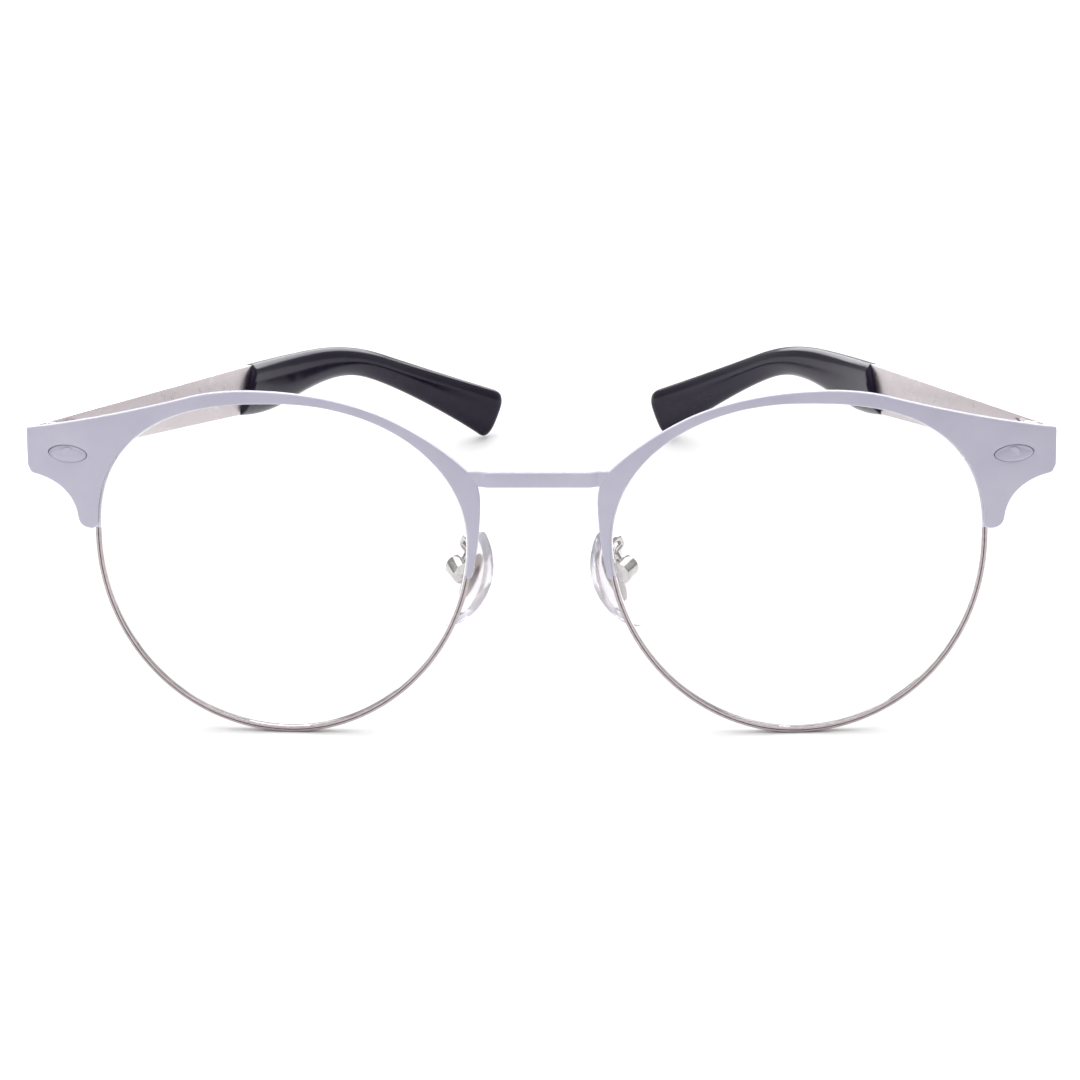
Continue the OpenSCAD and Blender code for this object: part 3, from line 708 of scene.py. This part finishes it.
def make_pad(left):
    side = "left" if left else "right"
    n = 72
    edge = []
    for i in range(n):
        a = 2 * math.pi * i / n
        edge.append(((PAD_W * (0.5 - 0.07 * math.sin(a)) - 0.02) * math.cos(a),
                     (PAD_H / 2 - 0.06) * sp(math.sin(a), 0.96)))
    ts = [0.0, 0.12, 0.25, 0.38, 0.5, 0.62, 0.72, 0.8, 0.87, 0.925, 0.965, 0.99, 1.0]
    front, back = [], []
    for t in ts[1:]:
        fr, bk = [], []
        for y, z in edge:
            py, pz = y * t, z * t
            rho2 = py * py + pz * pz
            xf = 6.7 - math.sqrt(10.5 ** 2 - rho2) + 0.02
            xb = 28.65 - math.sqrt(30.0 ** 2 - rho2) - 0.02
            half = max(0.22, (xb - xf) / 2) * (1 - t ** 7) ** 0.5
            mid = (xf + xb) / 2 if xb - xf > 0.44 else min(xb - 0.22, (xf + xb) / 2)
            fr.append(pad_world((mid - half, py, pz - 1.6)))
            bk.append(pad_world((mid + half, py, pz - 1.6)))
        front.append(fr)
        back.append(bk)
    secs = front + back[:-1][::-1]
    v, f = loft(secs, False)
    v.append(pad_world((-3.8, 0, -1.6)))
    f += [(i, (i + 1) % n, len(v) - 1) for i in range(n)]
    k = (len(secs) - 1) * n
    v.append(pad_world((-1.37, 0, -1.6)))
    f += [(k + i, k + (i + 1) % n, len(v) - 1) for i in range(n)]
    ob = build("pad_cushion_" + side, v, f, [PAD], "pad_" + side, ["nose_pad_" + side], left, 60)


def make_arm(left):
    side = "left" if left else "right"
    x0, z0 = 9.6, 27.2
    y0 = front_y(x0, z0, RIM_BACK) + 0.04
    a, top = (x0, y0 + 0.5, z0), (11.15, 9.75, 26.3)
    end, far = pad_world((0.75, 0, 2.4)), pad_world((0.75, 0, 2.9))
    path = [(x0, y0, z0)]
    path += bez(a, (a[0] + 0.05, a[1] + 2.4, a[2] + 0.1), (10.95, 9.5, 28.1), top, 30, True)
    path += bez(top, (top[0] + 0.06, top[1] + 0.08, top[2] - 0.6), far, end, 20)
    path += [pad_world((0.75, 0, 1.3))]
    path = [Vector(p) for p in even(path, 60)]
    secs, up = [], Vector((0, 0, 1))
    for i, p in enumerate(path):
        d = (path[min(i + 1, len(path) - 1)] - path[max(i - 1, 0)]).normalized()
        side_v = d.cross(up)
        if side_v.length < 1e-3:
            side_v = Vector((1, 0, 0))
        side_v.normalize()
        up = side_v.cross(d).normalized()
        secs.append([tuple(p + side_v * (WIRE_R * math.cos(t)) + up * (WIRE_R * math.sin(t)))
                     for t in [2 * math.pi * j / 20 for j in range(20)]])
    v, f = loft(secs)
    ob = build("pad_wire_" + side, v, f, [BRIGHT], "front", ["pad_arm_" + side], left, 50)


make_bridge()
for LEFT in (True, False):
    make_brow(LEFT)
    make_rivet(LEFT)
    make_rim(LEFT)
    make_lens(LEFT)
    make_blade(LEFT)
    make_tip(LEFT)
    make_pad(LEFT)
    make_arm(LEFT)

# ---- small fittings keep their CAD shape, with softened edges -------------------------------

SOFT = {"pad_box": 0.16, "pad_screw": 0.10, "pad_insert": 0.05, "endpiece_block": 0.22, "rim_lock_upper": 0.15,
        "rim_lock_lower": 0.15, "rim_screw": 0.08, "hinge_front_leaf": 0.12, "hinge_temple_leaf": 0.12,
        "hinge_screw": 0.10}
for name, ob in frame["nodes"].items():
    kind = name.rsplit("_", 1)[0]
    if kind not in SOFT:
        continue
    ob.data.materials.clear()
    ob.data.materials.append(INSERT if kind == "pad_insert" else BRIGHT)
    w = ob.modifiers.new("weld", "WELD")
    w.merge_threshold = 1e-6
    d = ob.modifiers.new("flat", "DECIMATE")
    d.decimate_type = "DISSOLVE"
    d.angle_limit = math.radians(0.6)
    b = ob.modifiers.new("soft", "BEVEL")
    b.width = SOFT[kind] * MM
    b.segments = 3
    b.limit_method = "ANGLE"
    b.angle_limit = math.radians(40)
    b.harden_normals = True
    for poly in ob.data.polygons:
        poly.use_smooth = True

bpy.context.scene.view_settings.view_transform = "Standard"

# ---- stage, light and camera ----------------------------------------------------------------

floor_me = bpy.data.meshes.new("floor")
FLOOR_HALF, CURVE_Y, CURVE_R, CURVE_STEPS, WALL_TOP, FLOOR_DROP = 6.0, 1.2, 1.5, 24, 7.0, 0.00002
profile = [(-FLOOR_HALF, 0.0)]
for i in range(CURVE_STEPS + 1):
    a = math.radians(90 * i / CURVE_STEPS)
    profile.append((CURVE_Y + CURVE_R * math.sin(a), CURVE_R * (1 - math.cos(a))))
profile.append((CURVE_Y + CURVE_R, WALL_TOP))
fv = [(x, y, z - FLOOR_DROP) for y, z in profile for x in (-FLOOR_HALF, FLOOR_HALF)]
ff = [(2 * i, 2 * i + 1, 2 * i + 3, 2 * i + 2) for i in range(len(profile) - 1)]
floor_me.from_pydata(fv, [], ff)
floor = bpy.data.objects.new("floor", floor_me)
bpy.context.scene.collection.objects.link(floor)
for poly in floor_me.polygons:
    poly.use_smooth = True
m, nt, p, co, _ = material("studio_floor")
nt.links.new(ramp(nt, noise(nt, co, 3.0, 2), [(0.3, (0.93, 0.93, 0.93)), (0.7, (0.95, 0.95, 0.95))]),
             p.inputs["Base Color"])
p.inputs["Roughness"].default_value = 0.9
p.inputs["Specular IOR Level"].default_value = 0.1
floor_me.materials.append(m)

world = bpy.data.worlds.new("studio")
bpy.context.scene.world = world
world.use_nodes = True
wt = world.node_tree
bg = wt.nodes["Background"]
tc = wt.nodes.new("ShaderNodeTexCoord")
sx = wt.nodes.new("ShaderNodeSeparateXYZ")
wt.links.new(tc.outputs["Generated"], sx.inputs[0])
wr = wt.nodes.new("ShaderNodeValToRGB")
wr.color_ramp.elements[0].position, wr.color_ramp.elements[0].color = 0.02, (0.26, 0.26, 0.28, 1)
wr.color_ramp.elements[1].position, wr.color_ramp.elements[1].color = 0.55, (1.0, 1.0, 1.0, 1)
wt.links.new(sx.outputs["Z"], wr.inputs[0])
wt.links.new(wr.outputs[0], bg.inputs[0])
bg.inputs[1].default_value = 0.62
# seen directly, past the floor's edges, the room is plain and pale
pale = wt.nodes.new("ShaderNodeBackground")
pale.inputs[0].default_value = (0.82, 0.82, 0.83, 1)
path = wt.nodes.new("ShaderNodeLightPath")
mix = wt.nodes.new("ShaderNodeMixShader")
wt.links.new(path.outputs["Is Camera Ray"], mix.inputs[0])
wt.links.new(bg.outputs[0], mix.inputs[1])
wt.links.new(pale.outputs[0], mix.inputs[2])
wt.links.new(mix.outputs[0], wt.nodes["World Output"].inputs[0])


def lamp(name, loc, aim, size, power, colour=(1, 1, 1), size_y=None):
    L = bpy.data.lights.new(name, "AREA")
    L.shape = "RECTANGLE"
    L.size, L.size_y = size, size_y or size
    L.energy = power
    L.color = colour
    o = bpy.data.objects.new(name, L)
    bpy.context.scene.collection.objects.link(o)
    o.location = loc
    o.rotation_euler = (Vector(aim) - Vector(loc)).to_track_quat("-Z", "Y").to_euler()


lamp("top_soft", (0.0, 0.12, 1.0), (0, 0.0, 0), 1.5, 12.5, (1.0, 1.0, 1.0))
lamp("back_panel", (0.0, 1.5, 0.55), (0, 0.0, 0.03), 2.0, 14.0, (1.0, 1.0, 1.0), 0.45)
lamp("left_soft", (-0.9, -0.7, 0.5), (0, 0, 0.02), 0.5, 1.6, (1.0, 0.99, 0.98))

# the camera stands 22 mm to the right and about 19 degrees up; half of that is turned back to the middle, and
# the picture is shifted for the rest, so that both halves of the front look equally wide
cam_data = bpy.data.cameras.new("camera")
cam = bpy.data.objects.new("camera", cam_data)
bpy.context.scene.collection.objects.link(cam)
bpy.context.scene.camera = cam
cam_data.sensor_width = 36.0
cam_data.lens = 108.9
DISTANCE, AIM_Z, SIDE = 0.450, 0.03007, 0.0110
pitch, yaw, roll = math.radians(19.2), math.radians(1.4), math.radians(-0.45)
aim = Vector((SIDE, SHIFT * MM, AIM_Z))
back = Vector((math.sin(yaw) * math.cos(pitch), -math.cos(yaw) * math.cos(pitch), math.sin(pitch)))
cam.location = aim + back * DISTANCE
cam.rotation_mode = "QUATERNION"
q = (-back).to_track_quat("-Z", "Y")
cam.rotation_quaternion = q @ Matrix.Rotation(roll, 4, "Z").to_quaternion()
cam_data.shift_x = -0.0725
cam_data.clip_start, cam_data.clip_end = 0.02, 30.0
